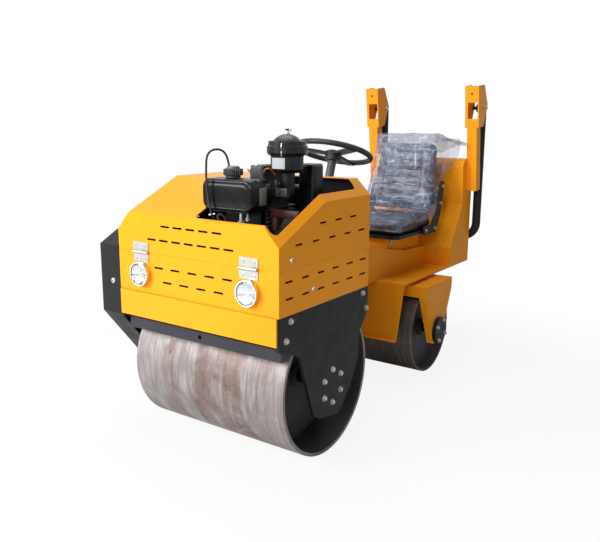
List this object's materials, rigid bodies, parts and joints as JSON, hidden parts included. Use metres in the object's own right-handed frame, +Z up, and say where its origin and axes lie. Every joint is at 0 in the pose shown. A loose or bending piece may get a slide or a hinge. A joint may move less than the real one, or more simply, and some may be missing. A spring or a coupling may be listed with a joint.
{
  "type": "ride-on mini road roller",
  "caption": "Small ride-on road roller with a wide front drum, a small steered rear drum, a slotted tilting hood over an open engine, a seat and a folding roll bar",
  "frame": {"origin": "Middle of the footprint of the machine's box, on the ground.", "axes": "+Z up; +Y is the machine's rear, so its front faces -Y; +X is the operator's left, opposite the drive cover."},
  "size_m": [0.813, 1.8676, 1.3314],
  "materials": {
    "paint": "satin",
    "black_paint": "satin",
    "steel": "brushed",
    "drum_steel": "worn",
    "drum_dark": "worn",
    "lens": "clear",
    "lamp": "polished",
    "seat_vinyl": "satin",
    "engine_black": "gloss",
    "engine_metal": "cast",
    "column_grey": "satin",
    "wheel_plastic": "matte",
    "rod_chrome": "polished",
    "cable": "matte"
  },
  "bodies": {
    "machine": {"front_panel": "paint", "body_band": "paint", "spine": "paint", "platform": "paint", "seat_box": "paint", "seat_riser": "paint", "rops_post_left": "paint", "rops_post_right": "paint", "side_plate_left": "black_paint", "side_plate_right": "black_paint", "chassis_deck": "black_paint", "cross_bar": "black_paint", "guard_box": "black_paint", "drum_stub_axles": "black_paint", "kingpin": "black_paint", "cylinder_anchor": "black_paint", "seat_brackets": "black_paint", "seat_pan": "black_paint", "hinge_lower_leaves": "steel", "lamp_lenses": "lens", "lamp_housings": "lamp", "seat_cushion": "seat_vinyl", "seat_backrest": "seat_vinyl", "fuel_tank": "engine_black", "tank_cap": "engine_black", "air_filter": "engine_black", "muffler": "engine_black", "recoil_housing": "engine_black", "tank_bracket": "engine_black", "engine_block": "engine_metal", "engine_head": "engine_metal", "exhaust_pipe": "engine_metal", "steering_column": "column_grey", "throttle_cable": "cable"},
    "hood_cover": {"hood": "paint", "hinge_upper_leaves": "steel"},
    "front_roller": {"front_drum": "drum_steel"},
    "steering_fork": {"fork": "paint", "rear_stub_axles": "black_paint", "rear_scraper": "black_paint"},
    "rear_roller": {"rear_drum": "drum_dark"},
    "hand_wheel": {"steering_wheel": "wheel_plastic"},
    "folding_bow": {"rops_bow": "black_paint"},
    "steering_barrel": {"cylinder_barrel": "black_paint"},
    "steering_rod": {"cylinder_rod": "rod_chrome"}
  },
  "joints": [
    {"name": "front_roller_spin", "type": "hinge", "parent": "machine", "child": "front_roller", "pos_m": [0.0515, -0.60638, 0.265], "axis": [1, 0, 0], "continuous": true},
    {"name": "steer", "type": "hinge", "parent": "machine", "child": "steering_fork", "pos_m": [0.0515, 0.37422, 0.43], "axis": [0, 0, 1], "range_deg": [-15, 15]},
    {"name": "rear_roller_spin", "type": "hinge", "parent": "steering_fork", "child": "rear_roller", "pos_m": [0.0515, 0.37422, 0.203], "axis": [1, 0, 0], "continuous": true},
    {"name": "hood_tilt", "type": "hinge", "parent": "machine", "child": "hood_cover", "pos_m": [0.0515, -0.91978, 0.705], "axis": [1, 0, 0], "range_deg": [0, 85]},
    {"name": "bow_fold", "type": "hinge", "parent": "machine", "child": "folding_bow", "pos_m": [0.0515, 0.86478, 1.22023], "axis": [1, 0, 0], "range_deg": [0, 187]},
    {"name": "hand_wheel_turn", "type": "hinge", "parent": "machine", "child": "hand_wheel", "pos_m": [0.0515, -0.04778, 1.025], "axis": [0, 0.319, 0.9478], "continuous": true},
    {"name": "barrel_swing", "type": "hinge", "parent": "machine", "child": "steering_barrel", "pos_m": [-0.1835, 0.62622, 0.396], "axis": [0, 0, 1], "range_deg": [-3.5, 3.5]},
    {"name": "rod_slide", "type": "slide", "parent": "steering_barrel", "child": "steering_rod", "axis": [0.9669, -0.2551, 0], "range_m": [-0.05, 0.05]}
  ],
  "couplings": [
    {"joint": "barrel_swing", "follows": "steer", "ratio": -0.19943},
    {"joint": "rod_slide", "follows": "steer", "m_per_rad": -0.18371}
  ]
}
